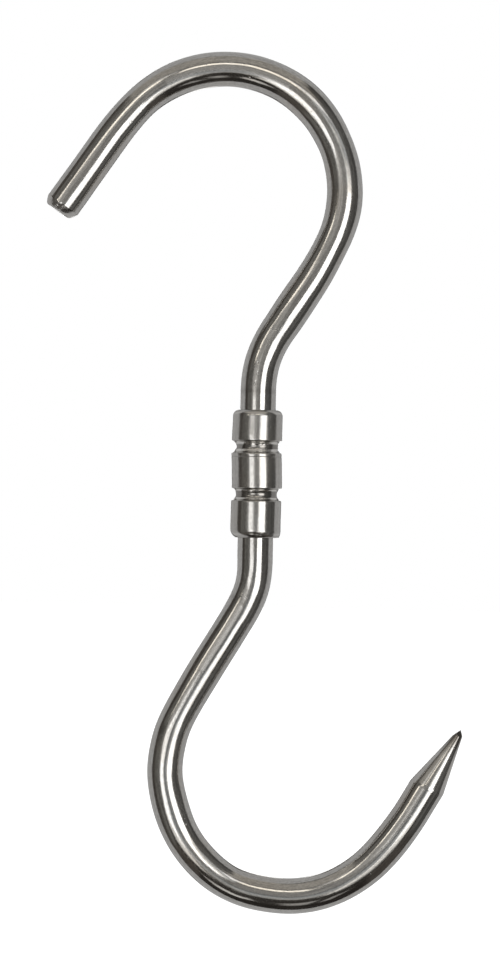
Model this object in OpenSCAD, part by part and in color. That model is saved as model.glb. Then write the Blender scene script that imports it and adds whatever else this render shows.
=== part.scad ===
// Swivel S-hook for meat: two hooks bent from round bar, joined end to end by a rolled sleeve.
// Each hook has a turned groove near its inner end. The sleeve is a tube with a groove rolled into it
// over each of those, so its wall stands into them as two beads that hold the hooks and let them turn.
// Millimetres. +Z is up along the sleeve's axis, +X is the side of the lower hook's point, and the
// origin is where a rail bears, on the inside of the upper bowl at its highest point.

/* [Bar] */
// Diameter of the round bar that both hooks are bent from
bar_d = 10; // [8:0.5:12]
// How much the bar thins at a slight bend, and again at a tight one
bend_draw = 0.02; // [0.01:0.01:0.04]

/* [Bends] */
// Inner radius of the bend between each neck and its shank
neck_bend_r = 29; // [20:1:40]
// Radius, at the bar's middle, of the slight bend from each shank into its bowl
lead_in_r = 100; // [70:5:150]
// Radius, at the bar's middle, of the slight bend from each bowl to its free end
lead_out_r = 80; // [60:5:150]

/* [Upper hook] */
// Straight neck between the sleeve and the neck bend
upper_neck_len = 4.7; // [2:0.1:20]
// Angle of the neck bend, in degrees
upper_neck_turn = 33.3; // [15:0.1:45]
// Length of the straight shank
upper_shank_len = 12.4; // [5:0.1:40]
// Angle of the slight bend into the bowl, in degrees
upper_lead_in_turn = 9.4; // [2:0.1:12]
// Inner radius of the bowl, which the rail fits
upper_bowl_r = 29; // [22:0.5:36]
// Angle of the bowl, in degrees
upper_bowl_turn = 160.9; // [140:0.1:175]
// Angle of the slight bend out of the bowl, in degrees
upper_lead_out_turn = 8.7; // [2:0.1:15]
// Length of the straight free end
upper_end_len = 25.1; // [5:0.1:40]
// Radius of the rounding at the blunt end
blunt_edge_r = 2.3; // [0.4:0.1:3.5]

/* [Lower hook] */
// Straight neck between the sleeve and the neck bend
lower_neck_len = 5.6; // [2:0.1:20]
// Angle of the neck bend, in degrees
lower_neck_turn = 31.2; // [15:0.1:45]
// Length of the straight shank
lower_shank_len = 18.5; // [5:0.1:40]
// Angle of the slight bend into the bowl, in degrees
lower_lead_in_turn = 9.1; // [2:0.1:12]
// Inner radius of the bowl, which carries the load
lower_bowl_r = 29.5; // [22:0.5:36]
// Angle of the bowl, in degrees
lower_bowl_turn = 159.5; // [140:0.1:175]
// Angle of the slight bend out of the bowl, in degrees
lower_lead_out_turn = 12.5; // [2:0.1:15]
// Length of the straight stretch before the point
lower_end_len = 8; // [2:0.1:40]
// Length of the ground taper
taper_len = 16.9; // [8:0.1:30]
// Radius at the taper's small end
taper_end_r = 1.1; // [0.5:0.1:2]
// Length of the blunter tip beyond the taper
tip_len = 1.2; // [0.5:0.1:3]
// Radius of the flat at the very tip
tip_r = 0.2; // [0.1:0.05:0.4]

/* [Sleeve] */
// Length of the sleeve
sleeve_len = 36.2; // [30:0.2:50]
// Wall of the tube that the sleeve is made from
sleeve_wall = 2; // [1.2:0.1:3]
// Radial clearance between the sleeve and the bars, all along, beads included
swivel_gap = 0.08; // [0.02:0.01:0.1]
// Radius of the rounding at the sleeve's outer end edges
sleeve_edge_r = 1.9; // [0.5:0.1:2.5]
// Radius of the roller that presses the grooves
roller_r = 2; // [1:0.1:3]
// Depth that the grooves are rolled in
groove_depth = 1.25; // [0.8:0.05:1.6]
// Height of the upper groove above the sleeve's middle
upper_groove_h = 7.7; // [6:0.1:10]
// Depth of the lower groove below the sleeve's middle
lower_groove_h = 5.7; // [5:0.1:10]
// Radius of the rounding where the grooves meet the outside
shoulder_r = 0.5; // [0.2:0.1:0.8]

/* [Bar ends in the sleeve] */
// Gap between the two bar ends, halfway between the grooves
head_gap = 0.5; // [0.2:0.1:1]
// Chamfer round each of those ends
head_chamfer = 0.6; // [0.3:0.1:1]

/* [Hidden] */
$fn = 96;

bar_r = bar_d / 2;
slight_d = bar_d - bend_draw;
tight_d = bar_d - 2 * bend_draw;
// How far each bend runs on inside the thicker bar beside it
lap = 0.5;

bore_r = bar_r + swivel_gap;
sleeve_r = bore_r + sleeve_wall;
// The roller's circle, the bead's and the bar groove's share this ring of centres
ring_r = sleeve_r - groove_depth + roller_r;
bead_r = roller_r + sleeve_wall;
bar_groove_r = bead_r + swivel_gap;
// A rounding at the wall's end leaves this much of it flat
end_flat = 0.1;
end_edge_r = min(sleeve_edge_r, sleeve_wall - end_flat);
// The shoulder's circle bites this far into the roller's, so that the two cross
shoulder_bite = 0.01;
shoulder_h = sqrt(pow(roller_r + shoulder_r - shoulder_bite, 2) - pow(ring_r - sleeve_r + shoulder_r, 2));
// Halfway between the grooves, above the sleeve's middle
heads_h = (upper_groove_h - lower_groove_h) / 2;

// A leg of bar is [length, radius, turn, diameter]. A positive turn is to the left, seen from the front
// with the leg going up, and a straight leg has neither radius nor turn.
function straight(length) = [length, 0, 0, bar_d];
function slight_bend(middle_r, turn) = [0, middle_r, turn, slight_d];
function tight_bend(inner_r, turn) = [0, inner_r + tight_d / 2, turn, tight_d];

// Each hook's legs from its neck to its free end, going up from the sleeve's middle. The lower hook is
// described the same way up and then turned over.
upper_legs = [
    tight_bend(neck_bend_r, -upper_neck_turn),
    straight(upper_shank_len),
    slight_bend(lead_in_r, upper_lead_in_turn),
    tight_bend(upper_bowl_r, upper_bowl_turn),
    slight_bend(lead_out_r, upper_lead_out_turn)
];
lower_legs = [
    tight_bend(neck_bend_r, -lower_neck_turn),
    straight(lower_shank_len),
    slight_bend(lead_in_r, lower_lead_in_turn),
    tight_bend(lower_bowl_r, lower_bowl_turn),
    slight_bend(lead_out_r, lower_lead_out_turn)
];
// The bowl's place in those lists
BOWL = 3;
upper_neck_end = sleeve_len / 2 + upper_neck_len;
lower_neck_end = sleeve_len / 2 + lower_neck_len;

// A place along the bar is [x, z, heading], with the heading in degrees to the left of straight up
function bend_centre(at, leg) =
    let (r = sign(leg[2]) * leg[1])
    [at[0] - r * cos(at[2]), at[1] - r * sin(at[2])];
function leg_end(at, leg) =
    let (c = bend_centre(at, leg), r = sign(leg[2]) * leg[1], heading = at[2] + leg[2])
    leg[1] == 0
        ? [at[0] - leg[0] * sin(at[2]), at[1] + leg[0] * cos(at[2]), at[2]]
        : [c[0] + r * cos(heading), c[1] + r * sin(heading), heading];
function along(at, legs, count) = count == 0 ? at : leg_end(along(at, legs, count - 1), legs[count - 1]);

// The upper bowl's centre, from the sleeve's middle, and so the sleeve's middle from the rail seat
upper_bowl_at = bend_centre(along([0, upper_neck_end, 0], upper_legs, BOWL), upper_legs[BOWL]);
swivel_at = [-upper_bowl_at[0], 0, -upper_bowl_at[1] - upper_bowl_r];

// One leg, starting at the origin and going up
module bar_leg(leg) {
    if (leg[1] == 0) {
        cylinder(h = leg[0], d = leg[3]);
    } else {
        lap_turn = lap / leg[1] * 180 / PI;
        mirror([leg[2] < 0 ? 1 : 0, 0, 0])
            translate([-leg[1], 0, 0])
                rotate([90, 0, 0])
                    rotate([0, 0, -lap_turn])
                        rotate_extrude(angle = abs(leg[2]) + 2 * lap_turn)
                            translate([leg[1], 0]) circle(d = leg[3]);
    }
}

// Moves what follows to a leg's end, pointing the way that the leg ends
module past(leg) {
    if (leg[1] == 0) {
        translate([0, 0, leg[0]]) children();
    } else {
        r = sign(leg[2]) * leg[1];
        translate([-r, 0, 0]) rotate([0, -leg[2], 0]) translate([r, 0, 0]) children();
    }
}

// All the legs one after another, then whatever stands at their end
module bent_bar(legs, first = 0) {
    if (first < len(legs)) {
        bar_leg(legs[first]);
        past(legs[first]) bent_bar(legs, first + 1) children();
    } else {
        children();
    }
}

// The straight bar in the sleeve and up to the neck bend, with its head and the groove that a bead runs in
module neck(head_h, groove_h, end_h) {
    rotate_extrude() difference() {
        polygon([
            [0, head_h], [bar_r - head_chamfer, head_h], [bar_r, head_h + head_chamfer],
            [bar_r, end_h], [0, end_h]
        ]);
        translate([ring_r, groove_h]) circle(r = bar_groove_r);
    }
}

// The straight free end, sawn square and rounded at its edge
module blunt_end() {
    rotate_extrude() {
        square([bar_r, upper_end_len - blunt_edge_r]);
        square([bar_r - blunt_edge_r, upper_end_len]);
        intersection() {
            translate([bar_r - blunt_edge_r, upper_end_len - blunt_edge_r]) circle(r = blunt_edge_r);
            square([bar_r, upper_end_len]);
        }
    }
}

// The straight free end, ground to a point
module pointed_end() {
    taper_end = lower_end_len + taper_len;
    rotate_extrude() polygon([
        [0, 0], [bar_r, 0], [bar_r, lower_end_len],
        [taper_end_r, taper_end], [tip_r, taper_end + tip_len], [0, taper_end + tip_len]
    ]);
}

// What the roller takes out of the outside at one groove, flared by its rounded shoulders
module rolled_groove() {
    outside = sleeve_r + 1;
    translate([ring_r, 0]) circle(r = roller_r);
    for (side = [-1, 1]) difference() {
        polygon([
            [ring_r, 0], [sleeve_r - shoulder_r, side * shoulder_h], [outside, side * shoulder_h], [outside, 0]
        ]);
        translate([sleeve_r - shoulder_r, side * shoulder_h]) circle(r = shoulder_r);
    }
}

// The corner that the rounding takes off the sleeve's upper end
module end_rounding() {
    translate([sleeve_r - end_edge_r, sleeve_len / 2 - end_edge_r]) difference() {
        square(end_edge_r + 1);
        circle(r = end_edge_r);
    }
}

module upper_hook() {
    color("silver") translate(swivel_at) {
        neck(heads_h + head_gap / 2, upper_groove_h, upper_neck_end);
        translate([0, 0, upper_neck_end]) bent_bar(upper_legs) blunt_end();
    }
}

module sleeve() {
    color("gainsboro") translate(swivel_at) rotate_extrude() difference() {
        union() {
            translate([bore_r, -sleeve_len / 2]) square([sleeve_wall, sleeve_len]);
            for (h = [upper_groove_h, -lower_groove_h]) intersection() {
                translate([ring_r, h]) circle(r = bead_r);
                translate([0, h - bead_r]) square([bore_r + sleeve_wall / 2, 2 * bead_r]);
            }
        }
        for (h = [upper_groove_h, -lower_groove_h]) translate([0, h]) rolled_groove();
        end_rounding();
        mirror([0, 1]) end_rounding();
    }
}

module lower_hook() {
    color("silver") translate(swivel_at) rotate([0, 180, 0]) {
        neck(-heads_h + head_gap / 2, lower_groove_h, lower_neck_end);
        translate([0, 0, lower_neck_end]) bent_bar(lower_legs) pointed_end();
    }
}

upper_hook();
sleeve();
lower_hook();
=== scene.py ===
from math import atan, atan2, cos, degrees, exp, hypot, pi, radians, sin, sqrt, tanh

import bmesh
import bpy
from mathutils import Matrix, Vector, noise


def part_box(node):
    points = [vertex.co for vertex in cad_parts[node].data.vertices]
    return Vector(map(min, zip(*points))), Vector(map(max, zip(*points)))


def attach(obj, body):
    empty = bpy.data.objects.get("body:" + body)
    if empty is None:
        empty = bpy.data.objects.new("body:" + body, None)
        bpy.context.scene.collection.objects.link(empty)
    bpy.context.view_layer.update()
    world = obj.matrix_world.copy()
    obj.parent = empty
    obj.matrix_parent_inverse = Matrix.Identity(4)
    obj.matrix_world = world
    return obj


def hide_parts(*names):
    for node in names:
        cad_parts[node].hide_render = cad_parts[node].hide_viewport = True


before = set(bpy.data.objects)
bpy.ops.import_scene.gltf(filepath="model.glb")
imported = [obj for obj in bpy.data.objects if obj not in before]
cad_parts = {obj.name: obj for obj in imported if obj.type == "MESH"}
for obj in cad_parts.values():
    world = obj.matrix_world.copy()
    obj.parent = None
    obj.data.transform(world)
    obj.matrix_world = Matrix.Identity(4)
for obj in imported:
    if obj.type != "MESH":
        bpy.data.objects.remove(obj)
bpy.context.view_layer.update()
print("frame loaded")

mm = 0.001

# Both hooks start at the sleeve's middle, so everything is placed from there.
sleeveLow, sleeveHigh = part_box("sleeve")
swivel = (sleeveLow + sleeveHigh) / 2
sleeveLength = sleeveHigh.z - sleeveLow.z
sleeveRadius = (sleeveHigh.y - sleeveLow.y) / 2


# Nodes

def addNode(tree, kind, inputs=None, **settings):
    node = tree.nodes.new(kind)
    for key, value in settings.items():
        setattr(node, key, value)
    for key, value in (inputs or {}).items():
        if isinstance(value, bpy.types.NodeSocket):
            tree.links.new(value, node.inputs[key])
        else:
            node.inputs[key].default_value = value
    return node


def newMaterial(name):
    material = bpy.data.materials.new(name)
    material.use_nodes = True
    material.node_tree.nodes.clear()
    return material, material.node_tree


def calculate(tree, operation, *values):
    return addNode(tree, "ShaderNodeMath", dict(enumerate(values)), operation=operation).outputs[0]


def mixColours(tree, factor, first, second):
    # a Mix node's colours are its sockets 6 and 7, and its mixed colour is output 2
    return addNode(tree, "ShaderNodeMix", {0: factor, 6: first, 7: second}, data_type="RGBA").outputs[2]


def ramp(tree, value, low, high, toLow, toHigh):
    return addNode(tree, "ShaderNodeMapRange", {
        "Value": value, "From Min": low, "From Max": high, "To Min": toLow, "To Max": toHigh},
        interpolation_type="SMOOTHSTEP").outputs["Result"]


def speckles(tree, place, size, long=1, detail=2):
    # a noise of grains of that size, drawn out along the bar by long
    stretched = addNode(tree, "ShaderNodeVectorMath", {0: place, 1: (1, 1, 1 / long)}, operation="MULTIPLY")
    return addNode(tree, "ShaderNodeTexNoise", {
        "Vector": stretched.outputs["Vector"], "Scale": 1 / size, "Detail": detail}).outputs["Fac"]


def raised(tree, height, distance, normal=None, strength=1):
    inputs = {"Height": height, "Distance": distance, "Strength": strength}
    if normal:
        inputs["Normal"] = normal
    return addNode(tree, "ShaderNodeBump", inputs).outputs["Normal"]


# Steel. The attribute "place" is where a point was on the straight bar or in the sleeve, from the
# sleeve's middle, "worn" is 1 where the surface is ground or rubbed, and the soil attribute is 1 where
# it is dirty, and on the sleeve where shade is painted in: in the bore, under the groove lips, along the
# scribed line and at the rounded ends.

barFinish = {
    "dark": (0.45, 0.437, 0.418, 1),
    "light": (0.59, 0.577, 0.555, 1),
    "rubbed": (0.60, 0.587, 0.565, 1),
    "stain": (0.50, 0.455, 0.405, 1),
    "soilAndPaintedShade": (0.13, 0.115, 0.10, 1),
    "polished": 0.11,
    "hazy": 0.16,
    "worn": 0.34,
    # each kind of unevenness: grain size, depth, and how far its grains are drawn out along the bar
    "peel": (2.6 * mm, 0.020 * mm, 3),
    "drawing": (0.45 * mm, 0.0016 * mm, 40),
    "pitting": (0.30 * mm, 0.0024 * mm, 1.5),
    "grinding": (0.28 * mm, 0.007 * mm, 6),
    "nick": 0.03 * mm,
}

sleeveFinish = {
    "dark": (0.46, 0.447, 0.428, 1),
    "light": (0.56, 0.547, 0.525, 1),
    "rubbed": (0.80, 0.782, 0.75, 1),
    "stain": (0.49, 0.45, 0.40, 1),
    "soilAndPaintedShade": (0.11, 0.10, 0.09, 1),
    "polished": 0.16,
    "hazy": 0.24,
    "worn": 0.28,
    "peel": (2.0 * mm, 0.012 * mm, 3),
    "drawing": (0.35 * mm, 0.007 * mm, 40),
    "pitting": (0.30 * mm, 0.002 * mm, 1.5),
    "grinding": (0.7 * mm, 0.06 * mm, 3),
    "nick": 0.03 * mm,
}


# the unevenness of colour and polish: grain size, how far it is drawn out along the bar, and detail
grains = {
    "smudge": (7 * mm, 2.5, 4),
    "speck": (0.45 * mm, 2.2, 3),
    "streak": (0.5 * mm, 40, 2),
    "stain": (12 * mm, 2, 3),
    "speckShare": 0.6,
    "streakShare": 0.4,
    # from what to what level of the noise each takes effect
    "toneRange": (0.35, 0.65),
    "stainRange": (0.5, 0.75),
    "hazeRange": (0.35, 0.68),
    "stained": 0.6,              # how strong the stain is at most
}


def nickMask(tree, place, nicks):
    # small oval dents on the front, each given by its middle, its half sizes and its lean
    front = ramp(tree, addNode(tree, "ShaderNodeSeparateXYZ", {0: place}).outputs["Y"], -1 * mm, 0, 1, 0)
    deepest = 0
    for across, along, halfWidth, halfLength, lean in nicks:
        local = addNode(tree, "ShaderNodeMapping", {
            "Vector": place, "Location": (across, 0, along), "Rotation": (0, radians(lean), 0),
            "Scale": (halfWidth, 1, halfLength)}, vector_type="TEXTURE").outputs["Vector"]
        reach = addNode(tree, "ShaderNodeVectorMath", {0: local}, operation="LENGTH").outputs["Value"]
        deepest = calculate(tree, "MAXIMUM", deepest, ramp(tree, reach, 0.5, 1, 1, 0))
    return calculate(tree, "MULTIPLY", deepest, front)


def steel(name, finish, nicks):
    material, tree = newMaterial(name)
    place = addNode(tree, "ShaderNodeAttribute", attribute_name="place").outputs["Vector"]
    worn = addNode(tree, "ShaderNodeAttribute", attribute_name="worn").outputs["Fac"]
    soilAndPaintedShade = addNode(tree, "ShaderNodeAttribute", attribute_name="soilAndPaintedShade").outputs["Fac"]
    smudge = speckles(tree, place, *grains["smudge"])
    speck = speckles(tree, place, *grains["speck"])
    streak = speckles(tree, place, *grains["streak"])
    stain = speckles(tree, place, *grains["stain"])

    tone = calculate(tree, "ADD", calculate(tree, "MULTIPLY", speck, grains["speckShare"]),
                     calculate(tree, "MULTIPLY", streak, grains["streakShare"]))
    tone = ramp(tree, tone, *grains["toneRange"], 0, 1)
    colour = mixColours(tree, tone, finish["dark"], finish["light"])
    stained = ramp(tree, stain, *grains["stainRange"], 0, grains["stained"])
    colour = mixColours(tree, stained, colour, finish["stain"])
    colour = mixColours(tree, worn, colour, finish["rubbed"])
    colour = mixColours(tree, soilAndPaintedShade, colour, finish["soilAndPaintedShade"])
    roughness = ramp(tree, smudge, *grains["hazeRange"], finish["polished"], finish["hazy"])
    roughness = calculate(tree, "MAXIMUM", roughness, calculate(tree, "MULTIPLY", worn, finish["worn"]))

    normal = None
    for kind in ("peel", "drawing", "pitting"):
        size, depth, long = finish[kind]
        normal = raised(tree, speckles(tree, place, size, long), depth, normal)
    size, depth, long = finish["grinding"]
    normal = raised(tree, speckles(tree, place, size, long), depth, normal, worn)
    if nicks:
        mask = nickMask(tree, place, nicks)
        normal = raised(tree, mask, -finish["nick"], normal)
        roughness = calculate(tree, "MAXIMUM", roughness, calculate(tree, "MULTIPLY", mask, finish["worn"]))
    shader = addNode(tree, "ShaderNodeBsdfPrincipled", {
        "Base Color": colour, "Metallic": 1.0, "Roughness": roughness, "Normal": normal})
    addNode(tree, "ShaderNodeOutputMaterial", {"Surface": shader.outputs["BSDF"]})
    return material


# Shapes

def arc(centre, radius, start, end, count):
    # points on an arc in a lathe profile, angles in degrees from straight out
    turns = [radians(start + (end - start) * i / count) for i in range(count + 1)]
    return [(centre[0] + radius * cos(turn), centre[1] + radius * sin(turn)) for turn in turns]


def lathe(profile, around, step, closed=False):
    # profile is a list of (radius, height), cut finer where an edge is longer than step
    mesh = bmesh.new()
    corners = [mesh.verts.new((radius, 0, height)) for radius, height in profile]
    ends = corners[1:] + corners[:1] if closed else corners[1:]
    edges = [mesh.edges.new(pair) for pair in zip(corners, ends)]
    for edge in edges:
        cuts = int(edge.calc_length() / step)
        if cuts:
            bmesh.ops.subdivide_edges(mesh, edges=[edge], cuts=cuts)
    bmesh.ops.spin(mesh, geom=mesh.verts[:] + mesh.edges[:], cent=(0, 0, 0), axis=(0, 0, 1),
                   angle=2 * pi, steps=around, use_merge=True)
    bmesh.ops.remove_doubles(mesh, verts=mesh.verts[:], dist=0.0005 * mm)
    bmesh.ops.recalc_face_normals(mesh, faces=mesh.faces[:])
    return mesh


def climb(value, start, length):
    # 0 up to start, then rising to 1 over that length
    return min(1, max(0, (value - start) / length))


def within(distance, reach, softness):
    # 1 up to that reach, falling to 0 over softness
    return min(1, max(0, (reach - distance) / softness + 0.5))


def fade(value, low, high, softness):
    # 1 between low and high, falling to 0 over softness at each end
    return within(-value, -low, softness) * within(value, high, softness)


def swell(value, middle, spread):
    return exp(-((value - middle) / spread) ** 2)


def swells(value, bumps):
    # smooth bumps added up, each given by its middle, its spread and its amount in millimetres
    return mm * sum(amount * swell(value, middle, spread) for middle, spread, amount in bumps)


def finishPiece(mesh, name, material, body, node, crease):
    for edge in mesh.edges:
        edge.smooth = edge.calc_face_angle(0) < radians(crease)
    data = bpy.data.meshes.new(name)
    mesh.to_mesh(data)
    mesh.free()
    data.materials.append(material)
    for polygon in data.polygons:
        polygon.use_smooth = True
    piece = bpy.data.objects.new(name, data)
    bpy.context.scene.collection.objects.link(piece)
    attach(piece, body)
    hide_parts(node)


# The two hooks. Each is turned as a straight bar, from its head inside the sleeve to its free end,
# and is then bent leg by leg. Leg lengths, and places given "past the neck", are in millimetres.

bar = {
    "radius": 5 * mm,
    "around": 120,
    "step": 0.42 * mm,
    "grooveRing": 7.83 * mm,
    "grooveRadius": 4.08 * mm,
    "chamfer": 0.6 * mm,
    "rolls": 0.08 * mm,          # depth of the long low waves left by bending and polishing
    "rollLength": 6 * mm,
    "rollSquash": 0.4,           # lengths along the bar count less, so that the waves are drawn out
    "rollSteepness": 3,
    "rubFade": (0.5, 0.7),       # over how many millimetres along and across a rub fades
    "smudgeFade": (0.8, 0.5),
    "easeFrom": -1.5,            # where its unevenness begins, in millimetres past the neck
    "easeLength": 5,             # over how many millimetres it reaches its full amount
    "crease": 20,                # edges that turn by more degrees than this stay sharp
}

upperHook = {
    "head": 1.25 * mm,
    "groove": 7.7 * mm,
    "neck": 4.7 * mm,
    "legs": [(33.98, -33.3), 12.4, (100, 9.4), (33.98, 160.9), (80, 8.7), 25.1],
    # the ground edge: two rounds, each with its height and how far it leans in where it starts and ends
    "edge": [(1.85 * mm, 22, 42), (0.45 * mm, 42, 80)],
    "edgeStep": 0.15 * mm,       # height of about one step along its rounds
    "edgeFrom": 0.02 * mm,       # how far past its start its wear and dirt begin
    "edgeFade": 0.3 * mm,        # height over which they reach their full amount
    "edgeWear": 0.7,
    "edgeSoil": 0.08,
    "heel": 0.31,                # how much of the ground edge is left standing on the outer side
    # lumps left in the ground edge: place across, how far in, half width, half length and rise
    "lumps": [(-1.0, 0.45, 0.42, 0.3, 0.16), (-1.0, 1.35, 0.4, 0.28, 0.16), (0.4, 1.5, 0.3, 0.22, 0.1),
              (1.3, 0.85, 0.25, 0.2, 0.07), (-2.2, 0.9, 0.3, 0.25, 0.04), (-0.2, 0.8, 0.2, 0.2, -0.04),
              (0.7, 0.6, 0.2, 0.2, -0.04), (2.3, 1.0, 0.25, 0.25, -0.04), (1.9, 0.5, 0.2, 0.2, 0.03)],
    # place past the neck, spread and amount: where the bar strays to its inner side, and where it is thinner
    "strays": [(9, 5, 0.17), (21, 5, -0.1), (33, 5, 0.05), (52, 6, 0.05), (56, 12, -0.12), (79, 5, 0.09),
               (98, 14, -0.17), (103, 6, 0.05), (122, 7, 0.06), (134, 8, 0.07), (153, 6, 0.05),
               (166, 10, 0.06)],
    "thins": [(26, 8, -0.16), (46, 8, 0.2), (60, 5, -0.08), (76, 5, 0.13), (92, 7, -0.14), (114, 8, 0.12),
              (142, 8, 0.25), (152, 6, 0.08)],
    # rubbed patches: from and to past the neck, from and to across, wear and dip
    "rubs": [(15.5, 18.3, -0.6, 2.2, 0.45, 0.01), (97, 134, -0.7, 1.1, 0.65, 0.01)],
    # dirt: from and to past the neck, from and to across, and strength
    "smudges": [(86, 93, -3.6, -2.4, 0.3), (0, 1.2, -5, 5, 0.25)],
    # nicks: place past the neck, place across, half length, half width and lean
    "nicks": [(14.3, 0.9, 0.09, 1.1, 8), (15.0, 1.2, 0.08, 0.9, -6), (18.1, 1.0, 0.09, 1.0, -22),
              (18.8, 0.5, 0.08, 0.7, -30), (109, 2.0, 0.35, 0.14, 0), (148.6, 2.2, 0.12, 0.5, 20),
              (149.4, 2.0, 0.1, 0.4, 20), (12.0, 2.0, 0.3, 0.12, 0), (2.6, 1.0, 0.9, 0.3, 5),
              (5.4, 0.7, 0.7, 0.3, -5), (8.1, 1.2, 0.6, 0.3, 0), (62.5, -0.6, 0.2, 0.1, 10),
              (121.5, -1.1, 0.25, 0.08, 5), (88.0, 1.4, 0.3, 0.08, -8), (171.0, -2.4, 0.2, 0.1, 30)],
}

lowerHook = {
    "head": -0.75 * mm,
    "groove": 5.7 * mm,
    "neck": 5.6 * mm,
    "legs": [(33.98, -31.2), 18.5, (100, 9.1), (34.48, 159.5), (80, 12.5), 8],
    "taper": 16.9 * mm,
    "taperEnd": 1.1 * mm,
    "taperRound": 0.3 * mm,      # how far before and after its start the taper's edge is rounded
    "taperWear": 0.3,
    "taperFade": 0.4 * mm,
    "taperSlant": 1.3 * mm,      # how much earlier the taper starts on the inner side
    "slantBefore": 6 * mm,       # how far before the taper that shift begins
    "tip": 1.2 * mm,
    "tipOff": -0.2 * mm,         # how far the point is off the middle
    # flat cuts at the point: how far each leans across and in depth, in degrees
    "facets": [(-24.7, 0), (44.3, 0), (0, -34), (0, 34)],
    "tipDarkening": (8 * mm, 0.8, 5.5 * mm),    # length before the point, strength and fade of the darkening towards the point
    "strays": [(8, 5, 0.28), (18, 5, -0.1), (39, 5, 0.08), (52, 6, -0.24), (66, 5, -0.12), (77, 9, 0.38),
               (103, 7, -0.28), (116, 6, 0.16), (142, 8, 0.12), (159, 5, 0.07)],
    "thins": [(6, 5, 0.07), (24, 8, 0.08), (47, 12, 0.13), (77, 7, -0.09), (104, 5, 0.12), (130, 6, -0.08),
              (158, 9, -0.1)],
    "rubs": [(11.4, 13.4, -5, -0.2, 0.5, 0.02), (14.2, 35.6, -2.1, 0.0, 0.75, 0.02),
             (53.6, 56.3, -3.4, -2.2, 0.5, 0.03), (105, 134, -2.0, 1.2, 0.4, 0.01)],
    "smudges": [(11.5, 13.3, -5, -0.4, 0.3), (14.2, 35.6, -2.6, 0.3, 0.12), (53.8, 56.1, -3.3, -2.3, 0.5),
                (89, 92, -3.2, -2.2, 0.15)],
    "nicks": [(11.2, -1.6, 0.1, 1.6, 3), (35.7, -0.9, 0.1, 0.9, 0), (34.9, 0.4, 0.12, 0.3, 20),
              (4.9, 0.9, 0.25, 0.12, 0), (82.5, 2.5, 0.3, 0.12, 10), (80.7, 2.8, 0.2, 0.1, 0),
              (145.2, -1.8, 0.12, 0.45, 15), (152.2, 1.3, 0.3, 0.1, 25), (165.0, 0.0, 0.12, 0.5, -20),
              (158.3, 0.4, 0.2, 0.1, 0), (96.0, 0.6, 0.3, 0.09, 0), (65.0, -0.4, 0.3, 0.08, 6),
              (187.3, -0.6, 0.1, 0.6, 25)],
}


def legLength(leg):
    # a bend is (radius at the bar's middle, turn in degrees), and a straight leg is its length
    return mm * (leg[0] * radians(abs(leg[1])) if isinstance(leg, tuple) else leg)


def legPlace(leg, part):
    # where the bar has come to after that part of the leg, from the leg's start
    if not isinstance(leg, tuple):
        return Matrix.Translation((0, 0, leg * mm * part))
    radius = leg[0] * mm * (1 if leg[1] > 0 else -1)
    return (Matrix.Translation((-radius, 0, 0)) @ Matrix.Rotation(radians(-leg[1] * part), 4, "Y")
            @ Matrix.Translation((radius, 0, 0)))


def neckEnd(hook):
    return sleeveLength / 2 + hook["neck"]


def freeEnd(hook):
    return neckEnd(hook) + sum(legLength(leg) for leg in hook["legs"])


def bend(mesh, hook):
    height = neckEnd(hook)
    place = Matrix.Translation((0, 0, height))
    starts = []
    for leg in hook["legs"]:
        starts.append((height, legLength(leg), place, leg))
        place = place @ legPlace(leg, 1)
        height += legLength(leg)
    for vertex in mesh.verts:
        x, y, along = vertex.co
        if along <= starts[0][0]:
            continue
        height, length, place, leg = [start for start in starts if start[0] < along][-1]
        vertex.co = place @ legPlace(leg, (along - height) / length) @ Vector((x, y, 0))


def handWork(mesh, hook):
    # what bending, rubbing and wear leave on the straight bar, here thinner and there a little thicker
    place = mesh.verts.layers.float_vector.new("place")
    worn = mesh.verts.layers.float.new("worn")
    soilAndPaintedShade = mesh.verts.layers.float.new("soilAndPaintedShade")
    rubAlong, rubAcross = bar["rubFade"]
    smudgeAlong, smudgeAcross = bar["smudgeFade"]
    for vertex in mesh.verts:
        vertex[place] = vertex.co
        x, y, along = vertex.co
        past = (along - neckEnd(hook)) / mm
        if past < bar["easeFrom"]:
            continue
        ease = min(1, (past - bar["easeFrom"]) / bar["easeLength"])
        wave = noise.noise(Vector((x, y, along * bar["rollSquash"])) / bar["rollLength"])
        dip = bar["rolls"] / 2 * tanh(bar["rollSteepness"] * wave)
        dip += swells(past, hook["thins"])
        if y < 0:
            for start, end, low, high, wear, depth in hook["rubs"]:
                share = fade(past, start, end, rubAlong) * fade(-x / mm, low, high, rubAcross)
                vertex[worn] = max(vertex[worn], wear * share)
                dip += depth * mm * share
            for start, end, low, high, darkening in hook["smudges"]:
                share = fade(past, start, end, smudgeAlong) * fade(-x / mm, low, high, smudgeAcross)
                vertex[soilAndPaintedShade] = max(vertex[soilAndPaintedShade], darkening * share)
        shrink = 1 - ease * dip / bar["radius"]
        stray = swells(past, hook["strays"])
        vertex.co = (x * shrink - stray * ease, y * shrink, along)


def barProfile(hook, end):
    ring, radius, head = bar["grooveRing"], bar["radius"], hook["head"]
    half = sqrt(bar["grooveRadius"] ** 2 - (ring - radius) ** 2)
    reach = degrees(atan(half / (ring - radius)))
    groove = arc((ring, hook["groove"]), bar["grooveRadius"], 180 + reach, 180 - reach, 10)
    return [(0, head), (radius - bar["chamfer"], head), (radius, head + bar["chamfer"])] + groove + end


def setInPlace(mesh, hook, flip):
    bend(mesh, hook)
    if flip:
        bmesh.ops.rotate(mesh, verts=mesh.verts[:], cent=(0, 0, 0), matrix=Matrix.Rotation(pi, 3, "Y"))
    bmesh.ops.translate(mesh, verts=mesh.verts[:], vec=swivel)


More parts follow.
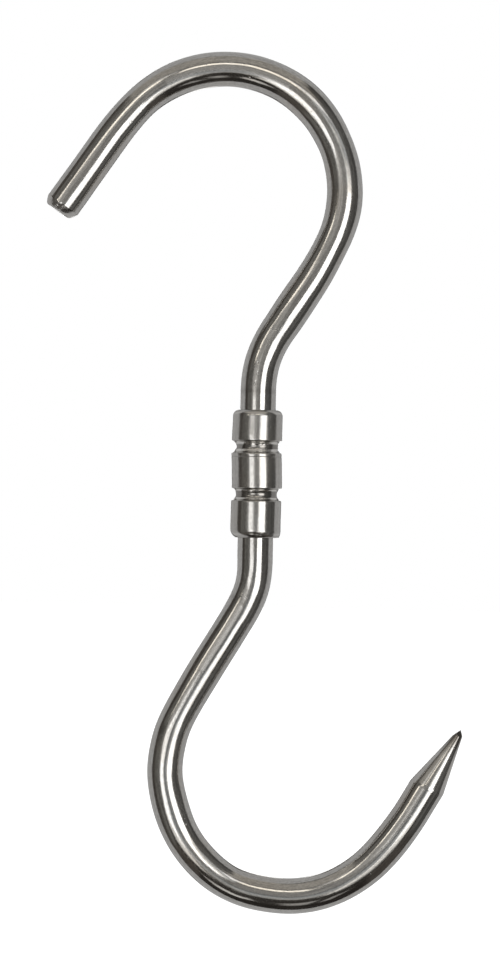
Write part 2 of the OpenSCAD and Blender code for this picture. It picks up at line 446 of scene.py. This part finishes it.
def mark(mesh, layer, start, amount, softness):
    # worn or darker from that height to the end
    shade = mesh.verts.layers.float[layer]
    for vertex in mesh.verts:
        vertex[shade] = max(vertex[shade], amount * climb(vertex.co.z, start, softness))


def nicksOf(hook):
    return [(-across * mm, neckEnd(hook) + past * mm, halfWidth * mm, halfLength * mm, lean)
            for past, across, halfLength, halfWidth, lean in hook["nicks"]]


def roughEdge(mesh, ground, faceRadius):
    # the ground edge is fuller on the outer side, and uneven on the front
    for vertex in mesh.verts:
        x, y, along = vertex.co
        if along <= ground:
            continue
        out = hypot(x, y)
        if x > 0 and out > faceRadius * 0.99:
            grow = 1 + upperHook["heel"] * (x / out) * (bar["radius"] - out) / out
            vertex.co = (x * grow, y * grow, along)
        if y < 0:
            past = (along - ground) / mm
            rise = mm * sum(lump * swell(-x / mm, across, halfWidth) * swell(past, farIn, halfLength)
                            for across, farIn, halfWidth, halfLength, lump in upperHook["lumps"])
            vertex.co.y -= rise * abs(y) / faceRadius


def makeUpperHook():
    radius, height = bar["radius"], freeEnd(upperHook) - sum(part[0] for part in upperHook["edge"])
    ground, edge = height, []
    for rise, start, stop in upperHook["edge"]:
        size = rise / (sin(radians(stop)) - sin(radians(start)))
        centre = (radius - size * cos(radians(start)), height - size * sin(radians(start)))
        edge += arc(centre, size, start, stop, int(rise / upperHook["edgeStep"]) + 2)
        radius, height = edge[-1]
    mesh = lathe(barProfile(upperHook, edge + [(0, height)]), bar["around"], bar["step"])
    roughEdge(mesh, ground, radius)
    handWork(mesh, upperHook)
    mark(mesh, "worn", ground + upperHook["edgeFrom"], upperHook["edgeWear"], upperHook["edgeFade"])
    mark(mesh, "soilAndPaintedShade", ground + upperHook["edgeFrom"], upperHook["edgeSoil"], upperHook["edgeFade"])
    setInPlace(mesh, upperHook, False)
    finishPiece(mesh, "upper_hook_bar", steel("upperSteel", barFinish, nicksOf(upperHook)),
                "upper_hook", "upper_hook", bar["crease"])


def cutFacets(mesh, tip):
    # the point is ground off by a few flat cuts through it
    for acrossLean, depthLean in lowerHook["facets"]:
        across, depth = radians(acrossLean), radians(depthLean)
        outward = Vector((sin(across), sin(depth), 0)).normalized()
        lean = max(abs(across), abs(depth))
        facing = Vector((outward.x * cos(lean), outward.y * cos(lean), sin(lean)))
        cut = bmesh.ops.bisect_plane(mesh, geom=mesh.verts[:] + mesh.edges[:] + mesh.faces[:], dist=1e-7,
                                     plane_co=tip, plane_no=facing, clear_outer=True)
        rim = [item for item in cut["geom_cut"] if isinstance(item, bmesh.types.BMEdge)]
        bmesh.ops.contextual_create(mesh, geom=rim)


def makeLowerHook():
    end, taper, rounded = freeEnd(lowerHook), lowerHook["taper"], lowerHook["taperRound"]
    slope = (bar["radius"] - lowerHook["taperEnd"]) / taper
    point = end + taper + lowerHook["tip"]
    cone = [(bar["radius"], end - rounded), (bar["radius"] - rounded * slope, end + rounded),
            (lowerHook["taperEnd"] - lowerHook["tip"] * slope, point), (0, point)]
    mesh = lathe(barProfile(lowerHook, cone), bar["around"], bar["step"])
    handWork(mesh, lowerHook)
    mark(mesh, "worn", end, lowerHook["taperWear"], lowerHook["taperFade"])
    # the steel is darker towards the point
    length, strength, softness = lowerHook["tipDarkening"]
    mark(mesh, "soilAndPaintedShade", point - length, strength, softness)
    for vertex in mesh.verts:
        x, y, along = vertex.co
        inner = (1 - x / max(hypot(x, y), 0.1 * mm)) / 2
        share = min(1 + (along - end) / lowerHook["slantBefore"], 1 - (along - end) / taper)
        vertex.co.z -= lowerHook["taperSlant"] * inner * max(0, share)
    cutFacets(mesh, Vector((lowerHook["tipOff"], 0, point)))
    setInPlace(mesh, lowerHook, True)
    finishPiece(mesh, "lower_hook_bar", steel("lowerSteel", barFinish, nicksOf(lowerHook)),
                "lower_hook", "lower_hook", bar["crease"])


makeUpperHook()
makeLowerHook()
print("hooks made")


# The sleeve

tube = {
    "bore": 5.08 * mm,
    "edge": (1.5 * mm, 1.9 * mm),    # height of the rounding at the top and at the bottom
    "edgeIn": 1.5 * mm,
    "short": 0.22 * mm,          # how much the lower end stops short
    "roller": 1.85 * mm,
    # each groove: its height, and how far from the axis the roller's middle was
    "grooves": [(-5.7 * mm, 7.60 * mm), (7.7 * mm, 7.67 * mm)],
    "grooveHalf": 2 * mm,
    "lean": (0.1 * mm, 1.25 * mm),    # how much higher a groove's floor lies than halfway between its
                                      # rims, and the depth where it does
    "beadRing": 7.75 * mm,
    "bead": 4 * mm,
    "shoulder": 0.3 * mm,
    "scribe": (4.95 * mm, 0.11 * mm, 0.07 * mm),    # height, half width and depth of the scribed line
    "draft": (0.07 * mm, 11 * mm, 5 * mm),    # how much the top land narrows, from where, over what height
    # height, spread and amount: where the wall strays sideways
    "sways": [(10.2, 3.5, -0.11), (5.6, 2.2, -0.15), (-2.8, 2.6, 0.12), (-14, 3, -0.06)],
    "chatter": 0.08 * mm,        # depth of the roller's marks in the grooves
    "chatterLength": 0.8 * mm,
    # the lower end is rounded more on one side: how high up, how deep, and how far the other side is filled
    "slump": (2.3 * mm, 0.3 * mm, 0.5),
    "wear": {"groove": 0.75, "end": 0.5},
    # painted shade: how much darker the bore, the front of the groove lips, the scribed line and the rounded
    # ends are painted
    "soilAndPaintedShade": {"bore": 0.5, "lip": 0.55, "scribe": 0.6, "end": 0.35},
    "inside": 0.9 * mm,          # how far out from the bore still counts as the inside
    # how far from a groove's middle or from an end each reaches, and over what length it fades
    "grooveReach": (1.75 * mm, 0.3 * mm),
    "endWearReach": (1.2 * mm, 0.5 * mm),
    "endShadeReach": (0.7 * mm, 0.5 * mm),
    "lip": (1.35 * mm, 1.85 * mm, 0.2 * mm),    # where a groove's lips lie from its middle, and their fade
    "scribeShadeReach": 0.05 * mm,
    "around": 192,
    "step": 0.3 * mm,
    "crease": 24,
}


def sleeveProfile():
    # the cut wall, once round: up the outside and down the bore
    half, out = sleeveLength / 2, sleeveRadius
    shoulder, roller, beadRing, bead = tube["shoulder"], tube["roller"], tube["beadRing"], tube["bead"]
    line, halfWidth, depth = tube["scribe"]
    low, high = tube["grooves"]

    def rolled(groove, ring):
        reach = sqrt((roller + shoulder) ** 2 - (ring - out + shoulder) ** 2)
        lean = degrees(atan(reach / (ring - out + shoulder)))
        return (arc((out - shoulder, groove - reach), shoulder, 0, lean, 4)
                + arc((ring, groove), roller, 180 + lean, 180 - lean, 16)[1:-1]
                + arc((out - shoulder, groove + reach), shoulder, -lean, 0, 4))

    def rounding(height, side):
        # from the wall to the end face, leaning in from its start
        turns = [radians(18 + 72 * i / 8) for i in range(9)]
        across = tube["edgeIn"] / (cos(turns[0]) - cos(turns[-1]))
        up = height / (sin(turns[-1]) - sin(turns[0]))
        face = half if side > 0 else half - tube["short"]
        points = [(out - across * (cos(turns[0]) - cos(turn)),
                   side * (face - height + up * (sin(turn) - sin(turns[0])))) for turn in turns]
        return points if side > 0 else points[::-1]

    top, bottom = tube["edge"]
    points = rounding(bottom, -1) + rolled(*low)
    points += [(out, line - halfWidth), (out - depth, line), (out, line + halfWidth)] + rolled(*high)
    points += rounding(top, 1) + [(tube["bore"], half)]
    lift = sqrt(bead ** 2 - (beadRing - tube["bore"]) ** 2)
    swing = degrees(atan(lift / (beadRing - tube["bore"])))
    for groove in (high[0], low[0]):
        points += arc((beadRing, groove), bead, 180 - swing, 180 + swing, 12)
    return points + [(tube["bore"], -half + tube["short"])]


def makeSleeve():
    mesh = lathe(sleeveProfile(), tube["around"], tube["step"], closed=True)
    place = mesh.verts.layers.float_vector.new("place")
    worn = mesh.verts.layers.float.new("worn")
    soilAndPaintedShade = mesh.verts.layers.float.new("soilAndPaintedShade")
    half, line, wear, darkening = sleeveLength / 2, tube["scribe"][0], tube["wear"], tube["soilAndPaintedShade"]
    draft, draftFrom, draftLength = tube["draft"]
    lean, leanDepth = tube["lean"]
    slumpHeight, slumpDepth, slumpFill = tube["slump"]
    for vertex in mesh.verts:
        vertex[place] = vertex.co
        x, y, height = vertex.co
        out = hypot(x, y)
        # painted shade: the bore is painted darker
        if out < tube["bore"] + tube["inside"]:
            vertex[soilAndPaintedShade] = darkening["bore"]
            continue
        fromEnd = min(half - height, half - tube["short"] + height)
        off = min(abs(height - groove) for groove, ring in tube["grooves"])
        inGroove = within(off, *tube["grooveReach"])
        vertex[worn] = max(wear["groove"] * inGroove, wear["end"] * within(fromEnd, *tube["endWearReach"]))
        # painted shade: darker under the groove lips, most on the front side, along the scribed line and at
        # the rounded ends
        vertex[soilAndPaintedShade] = max(darkening["lip"] * fade(off, *tube["lip"]) * max(0, -y / out) ** 2,
                           darkening["scribe"] * (abs(height - line) < tube["scribeShadeReach"]),
                           darkening["end"] * within(fromEnd, *tube["endShadeReach"]))
        dip = tube["chatter"] * inGroove * max(0, 0.5 + noise.noise(vertex.co / tube["chatterLength"]))
        dip += draft * climb(height, draftFrom, draftLength)
        if height < 0 and fromEnd < slumpHeight:
            share = -x / out
            if share > 0:
                dip += slumpDepth * (1 - fromEnd / slumpHeight) ** 2 * share
            else:
                dip += slumpFill * share * (sleeveRadius - out)
        shrink = 1 - dip / out
        sway = swells(height / mm, tube["sways"])
        lift = lean * climb(sleeveRadius - out, 0, leanDepth) if off < tube["grooveHalf"] else 0
        vertex.co = (x * shrink + sway, y * shrink, height + lift)
    bmesh.ops.translate(mesh, verts=mesh.verts[:], vec=swivel)
    finishPiece(mesh, "sleeve_tube", steel("sleeveSteel", sleeveFinish, []), "sleeve", "sleeve",
                tube["crease"])


makeSleeve()
print("sleeve made")


# Studio: lamps and cards that the camera doesn't see, and a white sheet all round

studio = {
    "floor": -1.25,           # height of the floor
    "inSteel": 0.51,          # how bright the sheet is in the steel
    "floorInSteel": 0.33,     # the floor's own share, as the lamps light it too
    "onFloor": 0.6,           # how bright the surroundings are on matt surfaces
    "farCards": -1.35,        # depth of the wall in front
    "sideCards": 1.35,        # how far out the side walls stand
    "sideBack": -0.42,        # depth where the side walls end and the rear ones begin
    "lowCards": -1.1,         # height of the walls' feet and of the cards that lie flat
    "wallReach": 1.30,        # how far off the cards in front of the wall stand
    "brimReach": 1.28,
    "behind": 2.0,            # how far off the cards behind the hooks stand
    "patchy": 0.3,
}


def glowing(name, colour, strength):
    # a card is a little patchy, as any real room is
    material, tree = newMaterial(name)
    place = addNode(tree, "ShaderNodeTexCoord").outputs["Object"]
    patch = addNode(tree, "ShaderNodeTexNoise", {"Vector": place, "Scale": 5, "Detail": 3}).outputs["Fac"]
    level = ramp(tree, patch, 0.3, 0.7, strength * (1 - studio["patchy"]), strength * (1 + studio["patchy"]))
    glow = addNode(tree, "ShaderNodeEmission", {"Color": (*colour, 1), "Strength": level})
    addNode(tree, "ShaderNodeOutputMaterial", {"Surface": glow.outputs["Emission"]})
    return material


def inStudio(points):
    # places of cards and lamps are given from the sleeve's middle
    return [Vector(point) + swivel for point in points]


def card(name, corners, colour, strength):
    # cards show only in reflections
    mesh = bmesh.new()
    mesh.faces.new([mesh.verts.new(corner) for corner in inStudio(corners)])
    data = bpy.data.meshes.new(name)
    mesh.to_mesh(data)
    mesh.free()
    data.materials.append(glowing(name, colour, strength))
    sheet = bpy.data.objects.new(name, data)
    bpy.context.scene.collection.objects.link(sheet)
    sheet.visible_camera = False
    sheet.visible_diffuse = False
    sheet.visible_shadow = False
    sheet.visible_transmission = False


def uprightCard(name, left, right, low, high, colour, strength):
    # left and right are its two ends in plan
    card(name, [(*left, low), (*right, low), (*right, high), (*left, high)], colour, strength)


def panel(name, left, right, low, high, rise, radiance, colour):
    # an upright lamp, higher by about rise at its right end. It faces the hooks if its left and right
    # are given as seen from behind it.
    across, along = right[0] - left[0], right[1] - left[1]
    data = bpy.data.lights.new(name, "AREA")
    data.shape = "RECTANGLE"
    data.size, data.size_y = hypot(across, along), high - low
    data.energy = radiance * pi * data.size * data.size_y
    data.color = colour
    light = bpy.data.objects.new(name, data)
    bpy.context.scene.collection.objects.link(light)
    middle = ((left[0] + right[0]) / 2, (left[1] + right[1]) / 2, (low + high) / 2)
    light.location = inStudio([middle])[0]
    light.rotation_euler = (pi / 2, -atan(rise / data.size), atan2(along, across))
    light.visible_camera = False


def plan(turn, reach):
    # a place in plan, by its turn in degrees from straight in front and its reach
    return (reach * sin(radians(turn)), -reach * cos(radians(turn)))


def darkRoom():
    far, side, low = studio["farCards"], studio["sideCards"], studio["lowCards"]
    back, behind = studio["sideBack"], studio["behind"]
    warm, brown, cool = (1, 0.98, 0.94), (1, 0.90, 0.80), (0.96, 0.99, 1)
    uprightCard("wall", (-side, far), (side, far), -0.55, 1.35, warm, 0.20)
    uprightCard("wallFoot", (-side, far), (side, far), low, -0.55, brown, 0.04)
    uprightCard("sideLeft", (-side, back), (-side, far), low, 1.5, (1, 0.97, 0.90), 0.17)
    uprightCard("sideRight", (side, far), (side, back), low, 2.4, warm, 0.135)
    for name, x, top, colour, strength, backEdge in [
            ("rearLeft", -side, 1.5, brown, 0.085, [(0.15, low), (0.08, -0.6), (0.05, -0.1), (0.07, 0.15),
                                                    (0.12, 0.5), (0.36, 0.72), (0.42, 0.85), (0.26, 1.0),
                                                    (0.22, 1.5)]),
            ("rearRight", side, 2.4, warm, 0.09, [(0.36, low), (0.34, -0.9), (0.16, -0.6), (0.12, 0.3),
                                                  (0.16, 0.6), (0.16, 2.4)])]:
        card(name, [(x, back, top), (x, back, low)] + [(x, *place) for place in backEdge], colour, strength)
    uprightCard("behindLeft", plan(-157, behind), plan(-170, behind), low, 1.3, brown, 0.07)
    uprightCard("behindRight", plan(170, behind), plan(156, behind), low, 1.3, warm, 0.07)
    for name, left, right, bottom, top, colour, strength in [
            ("wallMiddle", -12, 12, -0.08, 0.62, warm, 0.31),
            ("wallLeft", -42, -12, 0.0, 0.60, warm, 0.46),
            ("wallRight", 12, 42, 0.1, 0.60, cool, 0.60),
            ("wallLow", -10, 16, -0.22, -0.06, cool, 0.22),
            ("wallLower", -10, 14, -0.42, -0.22, cool, 0.56),
            ("wallFloor", -10, 12, -0.56, -0.42, warm, 0.52),
            ("brimLeft", -36, -12, 0.03, 0.16, warm, 0.75),
            ("wallTopLeft", -34, -15, 0.82, 1.05, warm, 0.80),
            ("skirtLeft", -38, -12, -0.68, -0.42, warm, 1.05),
            ("skirtRight", 9, 36, -0.68, -0.42, warm, 1.15),
            ("hemRight", 14, 37, -0.82, -0.68, warm, 0.32),
            ("brimRight", 16, 42, 0.1, 0.38, warm, 1.2)]:
        reach = studio["wallReach"] if name.startswith("wall") else studio["brimReach"]
        uprightCard(name, plan(left, reach), plan(right, reach), bottom, top, colour, strength)
    for name, left, right, strength in [
            ("underLeft", -side, -0.75, 0.10),
            ("underMiddle", -0.75, 0.75, 0.035),
            ("underRight", 0.75, side, 0.09)]:
        card(name, [(left, far, low), (right, far, low), (right, 0, low), (left, 0, low)], brown, strength)
    for name, strength, backEdge in [
            ("underBack", 0.035, [(-0.5, 0), (0.5, 0), (0.5, 0.13), (0, 0.08), (-0.3, 0.03)]),
            ("underBackRight", 0.08, [(0.5, 0), (side, 0), (side, 0.30), (0.95, 0.22), (0.5, 0.13)])]:
        card(name, [(*place, low) for place in backEdge], brown, strength)
    card("overhead", [(-3, -2.4, 2.1), (3, -2.4, 2.1), (3, 0, 2.1), (-3, 0, 2.1)], (1, 0.95, 0.87), 0.43)
    for name, left, right, near, away, strength in [
            ("lowLeft", -37, -13, 0.78, 1.14, 0.85),
            ("lowMiddle", 0, 14, 0.58, 1.06, 0.42),
            ("lowRight", 24, 36, 0.63, 0.99, 0.40)]:
        corners = [plan(left, away), plan(right, away), plan(right, near), plan(left, near)]
        card(name, [(*corner, low + 0.01) for corner in corners], warm, strength)


def lamps():
    cream, white = (1, 0.94, 0.83), (1, 1, 1)
    for name, left, right, low, high, rise, radiance, colour in [
            ("softboxRightTop", plan(14, 1.27), plan(42, 0.98), -0.05, 0.16, 0, 2.6, white),
            ("softboxRight", plan(12.5, 1.27), plan(42, 0.98), -0.14, -0.05, 0, 2.6, white),
            ("softboxRightMiddle", plan(17, 1.27), plan(46.5, 0.98), -0.28, -0.14, 0, 2.6, white),
            ("softboxRightLow", plan(11.5, 1.27), plan(42, 1.0), -0.43, -0.28, 0, 1.9, white),
            ("softboxLeft", plan(-31, 1.1), plan(-8.5, 1.26), -0.25, -0.07, 0, 1.85, white),
            ("softboxLeftLow", plan(-31, 1.1), plan(-12, 1.26), -0.43, -0.25, 0, 2.1, white),
            ("softboxLeftTop", plan(-33.5, 1.1), plan(-12.5, 1.24), -0.07, -0.02, 0, 1.1, white),
            ("softboxLeftEdge", plan(-34, 1.1), plan(-14.5, 1.2), -0.02, 0.04, 0, 1.95, white),
            ("windowRight", plan(16, 1.3), plan(35, 1.42), 0.46, 0.75, 0, 1.5, white),
            ("windowRightTop", plan(14, 1.3), plan(33, 1.45), 0.75, 1.02, 0, 1.05, white),
            ("tubeLeft", plan(-49, 1.75), plan(-19, 1.32), 0.46, 0.80, 0.16, 2.2, cream),
            ("tubeRight", plan(-11, 1.27), plan(14, 1.28), 0.65, 0.96, 0, 1.8, cream),
            ("backLeft", (0.30, 2.0), (0.08, 2.0), -0.9, 0.7, 0, 1.3, white),
            ("backRight", (-0.14, 2.0), (-0.38, 2.0), -0.15, 0.8, 0, 1.7, white)]:
        panel(name, left, right, low, high, rise, radiance, colour)


darkRoom()
lamps()


def pathShare(tree, ray, level):
    path = addNode(tree, "ShaderNodeLightPath")
    return calculate(tree, "MULTIPLY", path.outputs[ray], level)


def addUp(tree, values):
    total = values[0]
    for value in values[1:]:
        total = calculate(tree, "ADD", total, value)
    return total


def sheetLevel(tree, inSteel):
    # white to the camera and through glass, mid grey in the steel
    return addUp(tree, [pathShare(tree, "Is Camera Ray", 1), pathShare(tree, "Is Transmission Ray", 1),
                        pathShare(tree, "Is Glossy Ray", inSteel)])


def makeFloor():
    mesh = bmesh.new()
    bmesh.ops.create_grid(mesh, x_segments=1, y_segments=1, size=30)
    bmesh.ops.translate(mesh, verts=mesh.verts[:], vec=(0, 0, studio["floor"]))
    data = bpy.data.meshes.new("floor")
    mesh.to_mesh(data)
    mesh.free()
    material, tree = newMaterial("floorPaint")
    level = sheetLevel(tree, studio["floorInSteel"])
    glow = addNode(tree, "ShaderNodeEmission", {"Color": (1, 1, 1, 1), "Strength": level})
    paint = addNode(tree, "ShaderNodeBsdfDiffuse", {"Color": (0.3, 0.3, 0.3, 1)})
    both = addNode(tree, "ShaderNodeAddShader", {0: glow.outputs[0], 1: paint.outputs[0]})
    addNode(tree, "ShaderNodeOutputMaterial", {"Surface": both.outputs[0]})
    data.materials.append(material)
    floor = bpy.data.objects.new("floor", data)
    bpy.context.scene.collection.objects.link(floor)


def makeWorld():
    world = bpy.data.worlds.new("surroundings")
    bpy.context.scene.world = world
    world.use_nodes = True
    tree = world.node_tree
    tree.nodes.clear()
    level = addUp(tree, [sheetLevel(tree, studio["inSteel"]),
                         pathShare(tree, "Is Diffuse Ray", studio["onFloor"])])
    background = addNode(tree, "ShaderNodeBackground", {"Color": (1, 1, 1, 1), "Strength": level})
    addNode(tree, "ShaderNodeOutputWorld", {"Surface": background.outputs[0]})


makeFloor()
makeWorld()
print("studio made")


# Camera, square on to the plane of the hooks and rolled a little

view = {
    "distance": 1.0,
    "frameHeight": 268.9 * mm,
    "right": 1.886 * mm,
    "up": 0.775 * mm,
    "roll": 1.16,
    "sensor": 36,
}


def makeCamera():
    data = bpy.data.cameras.new("camera")
    camera = bpy.data.objects.new("camera", data)
    bpy.context.scene.collection.objects.link(camera)
    turn = Matrix.Rotation(radians(-view["roll"]), 3, "Y")
    middle = swivel - turn @ Vector((view["right"], 0, view["up"]))
    camera.location = middle - Vector((0, view["distance"], 0))
    camera.rotation_euler = (pi / 2, radians(-view["roll"]), 0)
    data.sensor_width = view["sensor"]
    data.lens = data.sensor_width / 2 / (view["frameHeight"] / 2 / view["distance"])
    bpy.context.scene.camera = camera


makeCamera()
bpy.context.scene.view_settings.view_transform = "Standard"
